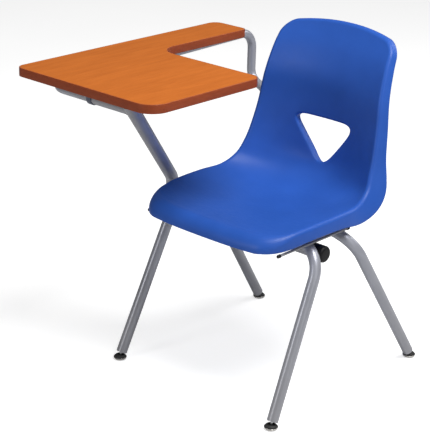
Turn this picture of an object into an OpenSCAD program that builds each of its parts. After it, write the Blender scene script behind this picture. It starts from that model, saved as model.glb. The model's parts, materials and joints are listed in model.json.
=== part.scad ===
// Tablet-arm student chair: one-piece moulded seat shell on two bent-tube leg
// hoops, with a writing tablet on its own tube frame at the sitter's right hand.
// +Z is up, the sitter faces -Y, and the origin is on the floor at the middle of the
// whole chair. Everything is laid out from the seat's own centre and then shifted
// there, so the places below are measured from the seat. Lengths are in millimetres.

/* [Frame tubes] */
// Outside diameter of the leg tubes
leg_od = 25.4; // [22:0.2:26]
// Wall thickness of every tube
tube_wall = 1.6; // [1.2:0.1:2.5]
// Outside diameter of the tablet post and its cross tube
post_od = 30; // [28:0.5:31]
// Outside diameter of the rear upright and its loop under the tablet
upright_od = 22.2; // [20:0.2:24]
// Height of the leg hoops' crossbars above the floor, at their centre line
crossbar_z = 368; // [360:1:372]
// Bend radius of the leg hoops
hoop_r = 72; // [66:1:78]

/* [Seat shell] */
// Wall thickness of the moulded shell
shell_t = 4.5; // [3.5:0.1:5]
// Width of the triangular opening in the back, before its corners are rounded
opening_w = 204; // [160:1:208]
// Roll radius of the front edge
front_roll = 32; // [24:1:36]
// Roll radius of the side edges
side_roll = 9; // [7:0.5:11]
// Roll radius of the top edge
top_roll = 11; // [8:0.5:14]

/* [Tablet] */
// Height of the writing surface above the floor
tablet_top_z = 692; // [680:1:700]
// Thickness of the tablet
tablet_t = 20; // [17:0.5:22]
// Outer side of the tablet and of its armrest
tablet_outer_x = -440; // [-450:1:-430]
// Inner side of the wide writing panel
tablet_inner_x = -10; // [-40:1:0]
// Inner side of the armrest
armrest_inner_x = -331; // [-345:1:-325]
// Front edge of the tablet
tablet_front_y = -380; // [-390:1:-370]
// Rear edge of the wide writing panel
panel_rear_y = -37; // [-60:1:-30]
// Back end of the armrest
armrest_rear_y = 276; // [260:1:290]

/* [Glides] */
// Diameter of the steel glide base
glide_d = 31; // [28:0.5:34]
// Height of the ball's centre above the floor
ball_z = 8; // [7.5:0.1:8.5]
// Diameter of the ball on the glide stud
ball_d = 9; // [8:0.5:9]

/* [Hidden] */

round_fn = 48;
// Clearance between pieces that touch, and between welded pieces
gap = 0.05;
// Width of the ring at a tube's seam, and how far it stands out of the wall
seam_w = 0.8;
seam_proud = 0.03;
blue = [0.12, 0.28, 0.68];
silver = [0.6, 0.61, 0.66];
black = [0.06, 0.06, 0.07];
nickel = [0.5, 0.5, 0.53];
zinc = [0.75, 0.75, 0.77];
brass = [0.72, 0.58, 0.3];

// ---- vectors and bent tubes ----

function unit(v) = v / norm(v);

// Turn angle between two directions, in degrees
function turn(a, b) = acos(max(-1, min(1, unit(a) * unit(b))));

// Moves its children from the seat's own centre to their place in the whole chair
module from_seat() {
    translate([seat_x, seat_y, 0]) children();
}

// Places its children with local X, Y and Z along the three given directions
module frame_at(origin, x, y, z) {
    multmatrix([
        [x[0], y[0], z[0], origin[0]],
        [x[1], y[1], z[1], origin[1]],
        [x[2], y[2], z[2], origin[2]],
        [0, 0, 0, 1]
    ]) children();
}

// Places its children at a point with local Z along a direction
module along(origin, direction) {
    z = unit(direction);
    helper = abs(z[2]) < 0.9 ? [0, 0, 1] : [1, 0, 0];
    x = unit(cross(helper, z));
    frame_at(origin, x, cross(z, x), z) children();
}

// Straight length of tube from a to b
module straight_tube(a, b, od, wall) {
    long = norm(b - a);
    along(a, b - a) difference() {
        cylinder(h = long, d = od, $fn = round_fn);
        translate([0, 0, -1]) cylinder(h = long + 2, d = od - 2 * wall, $fn = round_fn);
    }
}

// Bend of radius r round the corner b of the path a-b-c
module tube_bend(a, b, c, r, od, wall) {
    into = unit(b - a);
    out = unit(c - b);
    angle = turn(into, out);
    start = b - into * r * tan(angle / 2);
    toward = unit(out - into * (into * out));
    frame_at(start + toward * r, -toward, into, cross(-toward, into))
        rotate_extrude(angle = angle, $fn = 96)
            translate([r, 0]) difference() {
                circle(d = od, $fn = round_fn);
                circle(d = od - 2 * wall, $fn = round_fn);
            }
}

// Ring through the wall, a hair proud on both faces, that ties two lengths of tube together
module seam_ring(p, way, od, wall) {
    along(p - unit(way) * seam_w / 2, way) difference() {
        cylinder(h = seam_w, d = od + 2 * seam_proud, $fn = round_fn);
        translate([0, 0, -1]) cylinder(h = seam_w + 2, d = od - 2 * wall - 2 * seam_proud, $fn = round_fn);
    }
}

// Length of straight taken up on each side of a corner by its bend
function setback(a, b, c, r) = r * tan(turn(b - a, c - b) / 2);

// Bent tube through the points of a path; radii holds one bend radius a corner
module bent_tube(path, radii, od, wall) {
    last = len(path) - 1;
    for (i = [0:last - 1]) {
        way = unit(path[i + 1] - path[i]);
        head = i == 0 ? 0 : setback(path[i - 1], path[i], path[i + 1], radii[i - 1]);
        tail = i == last - 1 ? 0 : setback(path[i], path[i + 1], path[i + 2], radii[i]);
        straight_tube(path[i] + way * head, path[i + 1] - way * tail, od, wall);
    }
    for (i = [1:last - 1]) {
        back = setback(path[i - 1], path[i], path[i + 1], radii[i - 1]);
        into = unit(path[i] - path[i - 1]);
        out = unit(path[i + 1] - path[i]);
        tube_bend(path[i - 1], path[i], path[i + 1], radii[i - 1], od, wall);
        seam_ring(path[i] - into * back, into, od, wall);
        seam_ring(path[i] + out * back, out, od, wall);
    }
}

// ---- leg hoops ----

// Each leg's centre line runs through its corner under the seat and this floor point
front_corner = [219, -86, crossbar_z];
front_floor = [234.7, -256.3, 0];
rear_corner = [218.6, 14.7, crossbar_z];
rear_floor = [238.2, 255.4, 0];
front_end_z = 17;
rear_end_z = 17;

function leg_at(floor, corner, z) = floor + (corner - floor) * z / corner[2];
function flip(p) = [-p[0], p[1], p[2]];

module leg_hoop(floor, corner, end_z) {
    foot = leg_at(floor, corner, end_z);
    bent_tube([flip(foot), flip(corner), corner, foot], [hoop_r, hoop_r], leg_od, tube_wall);
}

module front_leg_hoop() {
    color(silver) from_seat() leg_hoop(front_floor, front_corner, front_end_z);
}

module rear_leg_hoop() {
    color(silver) from_seat() leg_hoop(rear_floor, rear_corner, rear_end_z);
}

brace_x = 168;
brace_od = 12.7;
cope_gap = 0.7;

// Point of a hoop's bend at a given x, on the tube's centre line, and the tube's direction there
function shoulder(floor, corner, x) =
    let (down = unit([0, floor[1] - corner[1], floor[2] - corner[2]]))
    let (start = corner[0] - setback(flip(corner), corner, floor, hoop_r))
    let (a = asin((x - start) / hoop_r))
    [[x, corner[1], corner[2]] + down * hoop_r * (1 - cos(a)),
        [cos(a), down[1] * sin(a), down[2] * sin(a)]];

// Short tube between the shoulders of the two hoops, its ends hollowed to fit round them
module side_brace() {
    ends = [shoulder(front_floor, front_corner, brace_x), shoulder(rear_floor, rear_corner, brace_x)];
    difference() {
        straight_tube(ends[0][0], ends[1][0], brace_od, tube_wall);
        for (e = ends) along(e[0] - e[1] * brace_od, e[1])
            cylinder(h = 2 * brace_od, d = leg_od + cope_gap, $fn = round_fn);
    }
}

module left_side_brace() {
    color(silver) from_seat() side_brace();
}

module right_side_brace() {
    color(silver) from_seat() mirror([1, 0, 0]) side_brace();
}

// ---- swivel glides ----

plug_long = 20;
stud_neck_d = 4.4;
stud_seat_d = 8;
glide_top_z = 12.5;
steel_t = 1.5;

// The four feet: floor point, corner and cut height of each leg's tube
function foot(front, side) =
    let (f = front ? front_floor : rear_floor)
    let (c = front ? front_corner : rear_corner)
    [[side * f[0], f[1], f[2]], [side * c[0], c[1], c[2]], front ? front_end_z : rear_end_z];
feet = [foot(true, 1), foot(true, -1), foot(false, 1), foot(false, -1)];
function leg_way(f) = unit(f[1] - f[0]);
function leg_end(f) = leg_at(f[0], f[1], f[2]);
function ball_at(f) = leg_at(f[0], f[1], ball_z);

module glide_plugs() {
    color(black) from_seat() for (f = feet) along(leg_end(f), leg_way(f)) difference() {
        cylinder(h = plug_long, d = leg_od - 2 * tube_wall - 2 * gap, $fn = round_fn);
        translate([0, 0, -1]) cylinder(h = plug_long + 2, d = stud_seat_d + 2 * gap, $fn = round_fn);
    }
}

// Stud: ball, tapering neck and a shank held in the plug
module glide_stud(f) {
    neck = norm(leg_end(f) - ball_at(f));
    along(ball_at(f), leg_way(f)) {
        sphere(d = ball_d, $fn = round_fn);
        cylinder(h = neck, d1 = stud_neck_d, d2 = stud_seat_d, $fn = round_fn);
        translate([0, 0, neck]) cylinder(h = plug_long, d = stud_seat_d, $fn = round_fn);
    }
}

module glide_studs() {
    color(zinc) from_seat() for (f = feet) glide_stud(f);
}

// Rubber cushion: snaps over the ball and tilts on it; the opening leans with the leg
module glide_cushion(f) {
    r = glide_d / 2;
    difference() {
        translate([ball_at(f)[0], ball_at(f)[1], 0]) rotate_extrude($fn = round_fn) polygon([
            [0, steel_t + 0.1], [r - 7, steel_t + 0.1], [r - 3.4, 3.05], [r - 1.95, 4.7],
            [r - 1.4, 6.3], [r - 1.4, 7.2], [r - 1.1, 7.2], [r - 2, 9], [r - 4.5, 11.3],
            [r - 7.5, glide_top_z], [0, glide_top_z]
        ]);
        translate(ball_at(f)) sphere(d = ball_d + 0.1, $fn = round_fn);
        along(ball_at(f), leg_way(f))
            cylinder(h = 20, d1 = stud_neck_d + 0.6, d2 = stud_neck_d + 12, $fn = round_fn);
    }
}

module front_left_cushion() {
    color(black) from_seat() glide_cushion(feet[0]);
}

module front_right_cushion() {
    color(black) from_seat() glide_cushion(feet[1]);
}

module rear_left_cushion() {
    color(black) from_seat() glide_cushion(feet[2]);
}

module rear_right_cushion() {
    color(black) from_seat() glide_cushion(feet[3]);
}

// Nickel-plated steel cup under the cushion; it turns about the vertical
module glide_base(f) {
    r = glide_d / 2;
    translate([ball_at(f)[0], ball_at(f)[1], 0]) rotate_extrude($fn = round_fn) polygon([
        [0, 0], [r - 6.5, 0], [r - 2.5, 1.6], [r - 0.5, 3.8], [r, 6], [r, 7], [r - 1.3, 7],
        [r - 1.3, 6.2], [r - 1.85, 4.6], [r - 3.3, 2.95], [r - 6.9, steel_t], [0, steel_t]
    ]);
}

module front_left_glide() {
    color(nickel) from_seat() glide_base(feet[0]);
}

module front_right_glide() {
    color(nickel) from_seat() glide_base(feet[1]);
}

module rear_left_glide() {
    color(nickel) from_seat() glide_base(feet[2]);
}

module rear_right_glide() {
    color(nickel) from_seat() glide_base(feet[3]);
}

// ---- seat shell ----

// Cross-sections from the front edge (0) to the top edge (10). Each row holds the
// side crest's y and z, the middle's y and z, the crest's half width, the angle
// through which the edge turns down, and the depth of the turned-down flange.
sections = [
    [-196, 414, -208, 410, 188, 92, 34],
    [-110, 422, -105, 403, 200, 98, 32],
    [-20, 424, -10, 398, 202, 100, 34],
    [50, 425, 75, 397, 196, 100, 44],
    [94, 443, 135, 413, 187, 98, 52],
    [116, 475, 168, 447, 179, 92, 45],
    [132, 515, 177, 500, 174.5, 88, 33],
    [146, 570, 180, 565, 169, 84, 28],
    [158, 639, 189, 644, 163, 80, 24],
    [181, 704, 207, 711, 157, 78, 21],
    [208, 751, 233, 767, 152, 82, 19]
];
top_v = len(sections) - 1;
front_corner_r = 46;
top_corner_r = 28;
seat_rise = 2.6;
back_rise = 2.0;

function section(i) = sections[max(0, min(top_v, i))];

// Smooth interpolation of column k of the sections at station v
function at(v, k) =
    let (i = max(0, min(top_v - 1, floor(v))), t = v - i)
    let (a = section(i)[k], b = section(i + 1)[k])
    let (ta = i == 0 ? b - a : (b - section(i - 1)[k]) / 2)
    let (tb = i == top_v - 1 ? b - a : (section(i + 2)[k] - a) / 2)
    a * (2 * t ^ 3 - 3 * t ^ 2 + 1) + ta * (t ^ 3 - 2 * t ^ 2 + t)
    + b * (3 * t ^ 2 - 2 * t ^ 3) + tb * (t ^ 3 - t ^ 2);

function smooth(t) = let (c = max(0, min(1, t))) c * c * (3 - 2 * c);
function rise(v) = seat_rise + (back_rise - seat_rise) * smooth((v - 2.5) / 3);

// Point of the shell's face at x and station v
function face(x, v) =
    let (g = min(1.2, abs(x) / at(v, 4)) ^ rise(v))
    [x, at(v, 2) + (at(v, 0) - at(v, 2)) * g, at(v, 3) + (at(v, 1) - at(v, 3)) * g];

// Unit normal of the face, towards the sitter
function face_normal(x, v) =
    let (e = 0.02, dx = face(x + 1, v) - face(x - 1, v), dv = face(x, v + e) - face(x, v - e))
    unit(cross(dx, dv));

// Length of the side crest between section i and the next one
function span(i) = norm([section(i + 1)[0] - section(i)[0], section(i + 1)[1] - section(i)[1]]);

// Rows of the grid: each is a station and how much narrower the face is there than its sides
corner_steps = 4;
row_gap = 0.5;
front_span = span(0);
top_span = span(top_v - 1);
function front_row(k) = let (a = 90 * k / corner_steps)
    [front_corner_r * (1 - cos(a)) / front_span, front_corner_r * (1 - sin(a))];
function top_row(k) = let (a = 90 * k / corner_steps)
    [top_v - top_corner_r * (1 - cos(a)) / top_span, top_corner_r * (1 - sin(a))];
mid_from = front_row(corner_steps)[0];
mid_to = top_row(corner_steps)[0];
mid_rows = ceil((mid_to - mid_from) / row_gap);
rows = concat(
    [for (k = [0:corner_steps]) front_row(k)],
    [for (k = [1:mid_rows - 1]) [mid_from + (mid_to - mid_from) * k / mid_rows, 0]],
    [for (k = [corner_steps:-1:0]) top_row(k)]
);
row_count = len(rows);
columns = 12;
function half_width(i) = at(rows[i][0], 4) - rows[i][1];
function grid_xv(i, j) = [half_width(i) * (2 * j / columns - 1), rows[i][0]];

// The rectangle of cells that gives way to the opening, and its edge as a loop
open_row_a = corner_steps + 8;
open_row_b = open_row_a + 8;
open_col_a = 2;
open_col_b = columns - 2;
open_side = open_row_b - open_row_a;
open_wide = open_col_b - open_col_a;
function open_loop() = concat(
    [for (k = [0:open_wide - 1]) [open_row_a, open_col_a + k]],
    [for (k = [0:open_side - 1]) [open_row_a + k, open_col_b]],
    [for (k = [0:open_wide - 1]) [open_row_b, open_col_b - k]],
    [for (k = [0:open_side - 1]) [open_row_b - k, open_col_a]]
);

// Outline of the opening: a triangle point down, its corners rounded by curves
opening_low_v = 4.69;
opening_high_v = 6.93;
opening_round = 0.27;
function mix(a, b, t) = a + (b - a) * t;
function opening_corner(i) = [
    [0, opening_low_v], [opening_w / 2, opening_high_v], [-opening_w / 2, opening_high_v]
][i % 3];
function corner_curve(i, t) =
    let (b = opening_corner(i), a = opening_corner(i + 2), c = opening_corner(i + 1))
    let (p = mix(b, a, opening_round), q = mix(b, c, opening_round))
    mix(mix(p, b, t), mix(b, q, t), t);

function curve_steps(i, n) = [for (k = [0:n - 1]) corner_curve(i, k / n)];
function line_steps(i, n) = [for (k = [0:n - 1]) mix(corner_curve(i, 1), corner_curve(i + 1, 0), k / n)];

// The outline from its lowest corner round: each corner's curve, then the straight after it
corner_cells = 4;
side_cells = 8;
top_cells = 4;
opening_outline = concat(
    curve_steps(0, corner_cells), line_steps(0, side_cells),
    curve_steps(1, corner_cells), line_steps(1, top_cells),
    curve_steps(2, corner_cells), line_steps(2, side_cells)
);
// The loop of cells starts at a side's end, half a corner before the lowest corner's middle
function opening_point(i) =
    opening_outline[(i + len(opening_outline) - corner_cells / 2) % len(opening_outline)];

// Outer edge of the grid as one loop of row and column numbers
edge_loop = concat(
    [for (j = [0:columns - 1]) [0, j]],
    [for (i = [0:row_count - 2]) [i, columns]],
    [for (j = [columns:-1:1]) [row_count - 1, j]],
    [for (i = [row_count - 1:-1:1]) [i, 0]]
);
edge_count = len(edge_loop);
hole_loop = open_loop();
hole_count = len(hole_loop);

// How far an edge point belongs to the front or the top edge, from 0 to 1
function end_share(k) = k > corner_steps ? 0 : cos(90 * k / corner_steps) ^ 2;
function edge_roll(i) =
    mix(mix(side_roll, front_roll, end_share(i)), top_roll, end_share(row_count - 1 - i));

// A turned-down edge: a roll of radius r through a turn, then a straight flange
function rolled(base, n, o, r, angle, depth, steps, inset) = concat(
    [for (k = [1:steps]) let (a = angle * k / steps)
        base - n * r + (o * sin(a) + n * cos(a)) * (r - inset)],
    [let (run = max(2, (depth - r * (1 - cos(angle))) / sin(angle)))
        base - n * r + (o * sin(angle) + n * cos(angle)) * (r - inset)
        + (o * cos(angle) - n * sin(angle)) * run]
);
roll_steps = 3;
lip_steps = 2;
lip_roll = 6;
lip_angle = 84;
lip_depth = 19;

function edge_xv(m) = let (e = edge_loop[m % edge_count]) grid_xv(e[0], e[1]);
function edge_ring(m, inset) =
    let (q = edge_xv(m), a = edge_xv(m + edge_count - 1), b = edge_xv(m + 1))
    let (n = face_normal(q[0], q[1]), t = face(b[0], b[1]) - face(a[0], a[1]))
    rolled(face(q[0], q[1]), n, unit(cross(t, n)), edge_roll(edge_loop[m][0]),
        at(q[1], 5), at(q[1], 6), roll_steps, inset);

function lip_ring(m, inset) =
    let (q = opening_point(m), a = opening_point(m + hole_count - 1), b = opening_point(m + 1))
    let (n = face_normal(q[0], q[1]), t = face(b[0], b[1]) - face(a[0], a[1]))
    rolled(face(q[0], q[1]), n, unit(cross(n, t)), lip_roll, lip_angle, lip_depth,
        lip_steps, inset);

function skin(xv, inset) = face(xv[0], xv[1]) - face_normal(xv[0], xv[1]) * inset;

// All the points of one side of the wall: grid, edge rings, two rings to the opening, lip
function side_points(inset) =
    let (edges = [for (m = [0:edge_count - 1]) edge_ring(m, inset)])
    let (lips = [for (m = [0:hole_count - 1]) lip_ring(m, inset)])
    concat(
        [for (i = [0:row_count - 1]) for (j = [0:columns]) skin(grid_xv(i, j), inset)],
        [for (k = [0:roll_steps]) for (m = [0:edge_count - 1]) edges[m][k]],
        [for (m = [0:hole_count - 1])
            let (e = hole_loop[m]) skin(mix(grid_xv(e[0], e[1]), opening_point(m), 0.5), inset)],
        [for (m = [0:hole_count - 1]) skin(opening_point(m), inset)],
        [for (k = [0:lip_steps]) for (m = [0:hole_count - 1]) lips[m][k]]
    );

grid_total = row_count * (columns + 1);
edge_total = (roll_steps + 1) * edge_count;
side_total = grid_total + edge_total + (lip_steps + 3) * hole_count;
function grid_id(e) = e[0] * (columns + 1) + e[1];
function edge_id(k, m) = k < 0 ? grid_id(edge_loop[m % edge_count])
    : grid_total + k * edge_count + m % edge_count;
function hole_id(k, m) = k < 0 ? grid_id(hole_loop[m % hole_count])
    : grid_total + edge_total + k * hole_count + m % hole_count;
function in_opening(i, j) =
    i >= open_row_a && i < open_row_b && j >= open_col_a && j < open_col_b;

// Two triangles of a quad, wound either way, shifted to one side's point numbers
function quad(q, forward, s) = forward
    ? [[q[0] + s, q[1] + s, q[2] + s], [q[0] + s, q[2] + s, q[3] + s]]
    : [[q[0] + s, q[2] + s, q[1] + s], [q[0] + s, q[3] + s, q[2] + s]];

function side_faces(s, outer) = concat(
    [for (i = [0:row_count - 2]) for (j = [0:columns - 1]) if (!in_opening(i, j))
        for (f = quad([grid_id([i, j]), grid_id([i, j + 1]), grid_id([i + 1, j + 1]),
            grid_id([i + 1, j])], !outer, s)) f],
    [for (k = [-1:roll_steps - 1]) for (m = [0:edge_count - 1])
        for (f = quad([edge_id(k, m), edge_id(k, m + 1), edge_id(k + 1, m + 1),
            edge_id(k + 1, m)], outer, s)) f],
    [for (k = [-1:lip_steps + 1]) for (m = [0:hole_count - 1])
        for (f = quad([hole_id(k, m), hole_id(k, m + 1), hole_id(k + 1, m + 1),
            hole_id(k + 1, m)], !outer, s)) f]
);

// Narrow bands that join the two sides along the free edges
function end_faces() = concat(
    [for (m = [0:edge_count - 1])
        let (a = edge_id(roll_steps, m), b = edge_id(roll_steps, m + 1))
        for (f = quad([a, b, b + side_total, a + side_total], true, 0)) f],
    [for (m = [0:hole_count - 1])
        let (a = hole_id(lip_steps + 2, m), b = hole_id(lip_steps + 2, m + 1))
        for (f = quad([a, b, b + side_total, a + side_total], false, 0)) f]
);

module seat_shell() {
    color(blue) from_seat() polyhedron(
        points = concat(side_points(0), side_points(shell_t)),
        faces = concat(side_faces(0, true), side_faces(side_total, false), end_faces())
    );
}

// ---- fixing of the shell to the frame ----

strap_x = 105;
strap_w = 32;
strap_t = 3;
strap_y = [-128, 56];
strap_z = crossbar_z + leg_od / 2 + gap;
boss_y = [-112, 40];
boss_d = 24;
insert_d = 9;
insert_long = 9;
bolt_d = 6;
bolt_head_d = 12;
bolt_head_h = 4;
bolt_socket_d = 4.6;
bolt_socket_h = 2.4;
washer_d = 14;
washer_t = 1.4;

// Station of the seat face under a given x and y, found by halving
function seat_station(x, y, low = 0.2, high = 3.2, n = 14) =
    let (mid = (low + high) / 2)
    n == 0 ? mid
    : face(x, mid)[1] < y ? seat_station(x, y, mid, high, n - 1)
    : seat_station(x, y, low, mid, n - 1);
function seat_under(x, y) = face(x, seat_station(x, y))[2] - shell_t;
function boss_top(y) = min([for (dx = [-1, 1]) for (dy = [-1, 1])
    seat_under(strap_x + dx * boss_d / 2, y + dy * boss_d / 2)]) - 0.6;

module seat_boss(y) {
    foot_z = strap_z + strap_t + gap;
    difference() {
        translate([0, y, foot_z]) cylinder(h = boss_top(y) - foot_z, d = boss_d, $fn = round_fn);
        translate([0, y, foot_z - 1]) cylinder(h = insert_long + 1, d = insert_d + gap, $fn = round_fn);
        translate([0, y, foot_z]) cylinder(h = insert_long + 2, d = bolt_d + 1, $fn = round_fn);
    }
}

module at_bolts() {
    for (side = [-1, 1]) for (y = boss_y) translate([side * strap_x, y, 0]) children();
}

module seat_bosses() {
    color(blue) from_seat()
        for (side = [-1, 1]) for (y = boss_y) translate([side * strap_x, 0, 0]) seat_boss(y);
}

module boss_inserts() {
    color(brass) from_seat() at_bolts() translate([0, 0, strap_z + strap_t + 2 * gap]) difference() {
        cylinder(h = insert_long - 4 * gap, d = insert_d, $fn = round_fn);
        translate([0, 0, -1]) cylinder(h = insert_long + 2, d = bolt_d + 2 * gap, $fn = round_fn);
    }
}

module seat_washers() {
    color(zinc) from_seat() at_bolts() translate([0, 0, strap_z - washer_t - gap]) difference() {
        cylinder(h = washer_t, d = washer_d, $fn = round_fn);
        translate([0, 0, -1]) cylinder(h = washer_t + 2, d = bolt_d + 0.6, $fn = round_fn);
    }
}

module seat_screws() {
    color(zinc) from_seat() at_bolts() translate([0, 0, strap_z - washer_t - 2 * gap]) difference() {
        union() {
            translate([0, 0, -bolt_head_h]) cylinder(h = bolt_head_h, d = bolt_head_d, $fn = round_fn);
            cylinder(h = washer_t + strap_t + insert_long, d = bolt_d, $fn = round_fn);
        }
        translate([0, 0, -bolt_head_h - 1]) cylinder(h = bolt_socket_h + 1, d = bolt_socket_d, $fn = 6);
    }
}

// Flat steel strap welded across the tops of both crossbars
module seat_strap(side) {
    translate([side * strap_x, 0, 0]) difference() {
        translate([-strap_w / 2, strap_y[0], strap_z]) cube([strap_w, strap_y[1] - strap_y[0], strap_t]);
        for (y = boss_y) translate([0, y, strap_z - 1])
            cylinder(h = strap_t + 2, d = bolt_d + 0.6, $fn = round_fn);
    }
}

module left_seat_strap() {
    color(silver) from_seat() seat_strap(1);
}

module right_seat_strap() {
    color(silver) from_seat() seat_strap(-1);
}

// Steel rod along each side, welded on the shoulders of both hoops
rail_x = 192;
rail_z = crossbar_z + leg_od / 2 - 6.2;
rail_d = 6;
rail_y = [-202, 38];

module seat_rail(side) {
    translate([side * rail_x, rail_y[0], rail_z]) rotate([-90, 0, 0])
        cylinder(h = rail_y[1] - rail_y[0], d = rail_d, $fn = round_fn);
}

module left_seat_rail() {
    color(silver) from_seat() seat_rail(1);
}

module right_seat_rail() {
    color(silver) from_seat() seat_rail(-1);
}

rail_cap_d = 8;
rail_cap_long = 6;

// Cap over the end of a rod, with a round nose; local +Z points out of the rod
module rail_cap() {
    difference() {
        union() {
            cylinder(h = rail_cap_long, d = rail_cap_d, $fn = round_fn);
            translate([0, 0, rail_cap_long]) sphere(d = rail_cap_d, $fn = round_fn);
        }
        translate([0, 0, -1]) cylinder(h = rail_cap_long + 1, d = rail_d + gap, $fn = round_fn);
    }
}

module rail_end_caps() {
    color(black) from_seat() for (side = [-1, 1]) {
        translate([side * rail_x, rail_y[0] + rail_cap_long - gap, rail_z]) rotate([90, 0, 0]) rail_cap();
        translate([side * rail_x, rail_y[1] - rail_cap_long + gap, rail_z]) rotate([-90, 0, 0]) rail_cap();
    }
}

// ---- tablet post with its cross tube ----

cross_y = -61;
cross_z = crossbar_z - 25;
cross_end_x = 206;
elbow_x = -257;
elbow_z = cross_z + 59;
elbow_r = 39;
tablet_under_z = tablet_top_z - tablet_t;
front_tube_od = 25.4;
front_tube_wall = 1.5;
front_tube_inset = 36;
front_tube_y = tablet_front_y + front_tube_inset;
loop_z = tablet_under_z - front_tube_od / 2 - 0.1;
post_top_x = -102;
socket_x = -230;

// The post and its cross tube are one bent tube; its top is trimmed flat under the tablet
module tablet_post() {
    top = [post_top_x, front_tube_y, loop_z];
    color(silver) from_seat() difference() {
        union() {
            bent_tube([
                top, [elbow_x, cross_y, elbow_z], [elbow_x, cross_y, cross_z],
                [cross_end_x, cross_y, cross_z]
            ], [elbow_r, elbow_r], post_od, tube_wall);
            straight_tube([socket_x, front_tube_y, loop_z],
                [post_top_x + post_od / 2, front_tube_y, loop_z], front_tube_od, front_tube_wall);
        }
        translate(top + [-50, -50, front_tube_od / 2 + gap]) cube([100, 100, 50]);
    }
}

cap_d = post_od + 8;
cap_long = 33;
cap_nose_r = 7;

// Plastic cap over the free end of the cross tube
module post_end_cap() {
    wall = 4;
    color(black) from_seat() translate([cross_end_x + wall, cross_y, cross_z]) rotate([0, -90, 0])
    difference() {
        union() {
            translate([0, 0, cap_nose_r]) cylinder(h = cap_long - cap_nose_r, d = cap_d, $fn = round_fn);
            cylinder(h = cap_nose_r, d = cap_d - 2 * cap_nose_r, $fn = round_fn);
            translate([0, 0, cap_nose_r]) rotate_extrude($fn = round_fn) intersection() {
                translate([cap_d / 2 - cap_nose_r, 0]) circle(r = cap_nose_r, $fn = round_fn);
                translate([cap_d / 2 - cap_nose_r, -cap_nose_r]) square(cap_nose_r);
            }
        }
        translate([0, 0, wall - gap]) cylinder(h = cap_long, d = post_od + gap, $fn = round_fn);
    }
}

bracket_x = 70;
bracket_t = 4;
bracket_rim = 19;

// Plate welded under both crossbars; the cross tube passes through its hole
module tube_bracket(side) {
    front = [front_corner[1], crossbar_z];
    rear = [rear_corner[1], crossbar_z];
    frame_at([side * bracket_x - bracket_t / 2, 0, 0], [0, 1, 0], [0, 0, 1], [1, 0, 0])
        linear_extrude(bracket_t) difference() {
            polygon([
                front, rear, rear - [9, 18], [cross_y + bracket_rim, cross_z - bracket_rim],
                [cross_y - bracket_rim, cross_z - bracket_rim], front - [6, 16]
            ]);
            for (bar = [front, rear]) translate(bar) circle(d = leg_od + gap, $fn = round_fn);
            translate([cross_y, cross_z]) circle(d = post_od + gap, $fn = round_fn);
        }
}

module left_tube_bracket() {
    color(silver) from_seat() tube_bracket(1);
}

module right_tube_bracket() {
    color(silver) from_seat() tube_bracket(-1);
}

// ---- rear upright: one tube from the front socket, round under the tablet, to the rear hoop ----

loop_front_x = -356;
upright_x = -398;
upright_y = 372;
loop_r = 45;
top_bend_r = 45;
knee_z = 539;
knee_r = 34;
heel = [-200, 345, 455];
heel_r = 60;
butt_x = -138;

module rear_upright() {
    color(silver) from_seat() difference() {
        bent_tube([
            [socket_x + 35, front_tube_y, loop_z], [loop_front_x, front_tube_y, loop_z],
            [upright_x, upright_y, loop_z], [upright_x, upright_y, knee_z], heel,
            [butt_x, rear_corner[1], crossbar_z]
        ], [loop_r, top_bend_r, knee_r, heel_r], upright_od, tube_wall);
        translate([butt_x - 50, rear_corner[1], crossbar_z]) rotate([0, 90, 0])
            cylinder(h = 100, d = leg_od + 4 * gap, $fn = round_fn);
    }
}

// ---- saddle clips and their screws ----

clip_w = 14;
clip_t = 2;
clip_ear = 13;
clip_screw_d = 4;
clip_screw_long = 16;
clip_head_d = 8;
clip_head_h = 2.6;
clip_slot = [4, 1, 1.6];

// The loop's side runs a little outward on its way back; this is its x at a given y
loop_lean = (upright_x - loop_front_x) / (upright_y - front_tube_y);
function loop_x(y) = loop_front_x + loop_lean * (y - front_tube_y);
function side_clip(y) = [[loop_x(y), y, loop_z], 90 + atan(-loop_lean), upright_od];

// Each clip: place on the tube's centre line, direction of the tube, tube diameter
clips = [[[socket_x + clip_w / 2, front_tube_y, loop_z], 0, front_tube_od], side_clip(-190), side_clip(-20)];
function ear_reach(c) = c[2] / 2 + clip_t + clip_ear / 2;

module saddle_clip(c) {
    up = tablet_under_z - gap - loop_z;
    inner = c[2] + 2 * gap;
    outer = inner + 2 * clip_t;
    translate(c[0]) rotate([0, 0, c[1]]) difference() {
        union() {
            translate([-clip_w / 2, 0, 0]) rotate([0, 90, 0])
                cylinder(h = clip_w, d = outer, $fn = round_fn);
            translate([-clip_w / 2, -outer / 2, 0]) cube([clip_w, outer, up]);
            translate([-clip_w / 2, -outer / 2 - clip_ear, up - clip_t])
                cube([clip_w, outer + 2 * clip_ear, clip_t]);
        }
        translate([-clip_w, 0, 0]) rotate([0, 90, 0])
            cylinder(h = 2 * clip_w, d = inner, $fn = round_fn);
        translate([-clip_w, -inner / 2, 0]) cube([2 * clip_w, inner, outer]);
        for (side = [-1, 1]) translate([0, side * ear_reach(c), 0])
            cylinder(h = up + 1, d = clip_screw_d + 0.4, $fn = round_fn);
    }
}

module saddle_clips() {
    color([0.3, 0.31, 0.35]) from_seat() for (c = clips) saddle_clip(c);
}

module at_clip_screws() {
    for (c = clips) for (side = [-1, 1])
        translate([c[0][0], c[0][1], 0]) rotate([0, 0, c[1]])
            translate([0, side * ear_reach(c), tablet_under_z - clip_t - 2 * gap]) children();
}

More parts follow.
